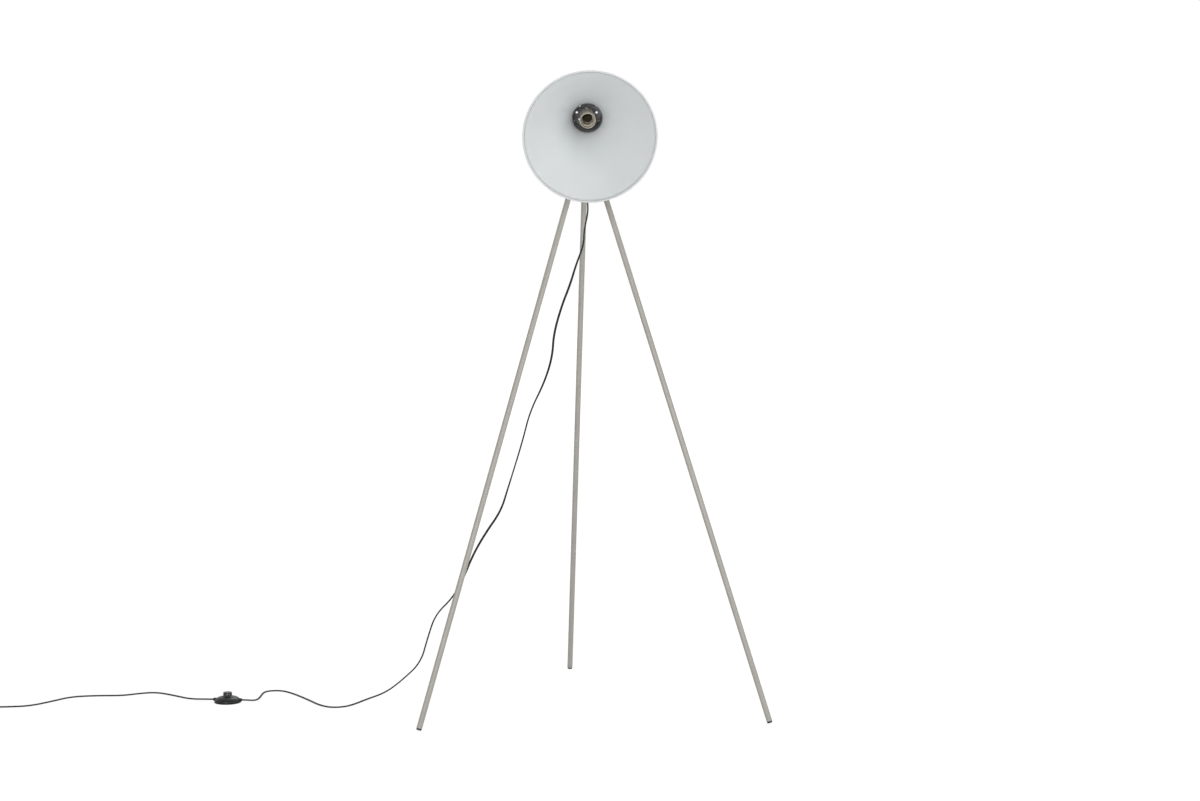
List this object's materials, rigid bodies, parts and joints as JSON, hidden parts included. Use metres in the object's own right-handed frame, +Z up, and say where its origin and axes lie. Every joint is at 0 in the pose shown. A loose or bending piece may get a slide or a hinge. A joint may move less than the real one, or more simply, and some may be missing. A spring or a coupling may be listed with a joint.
{
  "type": "tripod floor lamp",
  "caption": "floor lamp with a flared spotlight shade that turns and tilts on a slim tripod, with a foot switch on its mains cord",
  "frame": {"origin": "on the floor under the centre of the bounding box of the lamp without its mains cord", "axes": "+Z up, -Y the way the shade faces, +X to the right seen from in front; the mains cord runs out to -X"},
  "size_m": [1.9037, 0.7898, 1.4804],
  "materials": {
    "leg_paint": "semi-matt warm grey-beige paint",
    "foot_plug": "matt black plastic",
    "zinc_steel": "zinc-plated steel",
    "hub_paint": "semi-matt warm grey-beige paint",
    "black_plastic": "fine matt black plastic",
    "washer_plastic": "natural nylon",
    "brass": "plain brass",
    "cord_sheath": "matt black flexible sheath",
    "cup_paint": "matt charcoal paint",
    "shade_paint": "smooth matt white paint",
    "holder_plastic": "black plastic",
    "holder_ceramic": "smooth warm beige insulator",
    "screw_shell": "nickel-plated thread",
    "wire_sheath": "dark insulated wire",
    "plated_pin": "nickel-plated pins",
    "spring_steel": "bright spring steel"
  },
  "bodies": {
    "stand": {"leg_tube_left": "leg_paint", "foot_plug_left": "foot_plug", "leg_tube_right": "leg_paint", "foot_plug_right": "foot_plug", "leg_tube_back": "leg_paint", "foot_plug_back": "foot_plug", "leg_studs": "zinc_steel", "leg_hub": "hub_paint", "threaded_tube": "zinc_steel", "hub_washer": "zinc_steel", "hub_nut": "zinc_steel", "stem_tube": "hub_paint", "swivel_base": "hub_paint", "pan_washer": "zinc_steel", "cord_gland": "black_plastic", "gland_screw": "zinc_steel", "cord_inside_stem": "cord_sheath", "cord_upper": "cord_sheath", "cord_lower": "cord_sheath", "cord_coil": "cord_sheath", "coil_tie": "black_plastic", "plug_body": "black_plastic", "plug_pins": "plated_pin", "plug_boot": "black_plastic", "switch_base": "black_plastic", "switch_cover": "black_plastic", "switch_block": "black_plastic", "switch_terminals": "brass", "switch_screws": "zinc_steel", "switch_spring": "spring_steel"},
    "swivel": {"swivel_fork": "hub_paint", "pan_screw": "zinc_steel", "clamp_bolt": "zinc_steel", "friction_washers": "washer_plastic", "knob_washer": "zinc_steel", "spring_washer": "zinc_steel"},
    "knob": {"tilt_knob": "black_plastic", "knob_insert": "brass"},
    "head": {"head_arm": "hub_paint", "head_nipple": "zinc_steel", "cord_inside_head": "cord_sheath", "cup_washer": "zinc_steel", "cup_nut": "zinc_steel", "socket_cup": "cup_paint", "shade": "shade_paint", "shade_screws": "zinc_steel", "holder_nut": "zinc_steel", "holder_cap": "holder_plastic", "holder_body": "holder_plastic", "holder_core": "holder_ceramic", "screw_shell": "screw_shell", "centre_contact": "brass", "holder_terminals": "brass", "holder_wires": "wire_sheath"},
    "button": {"switch_button": "black_plastic"}
  },
  "joints": [
    {"name": "head_pan", "type": "hinge", "parent": "stand", "child": "swivel", "pos_m": [0, -0.07526, 1.38839], "axis": [0, 0, 1], "range_deg": [-150, 150]},
    {"name": "head_tilt", "type": "hinge", "parent": "swivel", "child": "head", "pos_m": [0, -0.07526, 1.41339], "axis": [0.9982, -0.0593, 0], "range_deg": [-60, 24]},
    {"name": "knob_turn", "type": "hinge", "parent": "swivel", "child": "knob", "pos_m": [0.01742, -0.0763, 1.41339], "axis": [0.9982, -0.0593, 0], "range_deg": [0, 270]},
    {"name": "button_press", "type": "slide", "parent": "stand", "child": "button", "axis": [0, 0, -1], "range_m": [0, 0.003], "stiffness_N_per_m": 600, "springref_m": -0.002, "deforming": ["switch_spring"]}
  ]
}
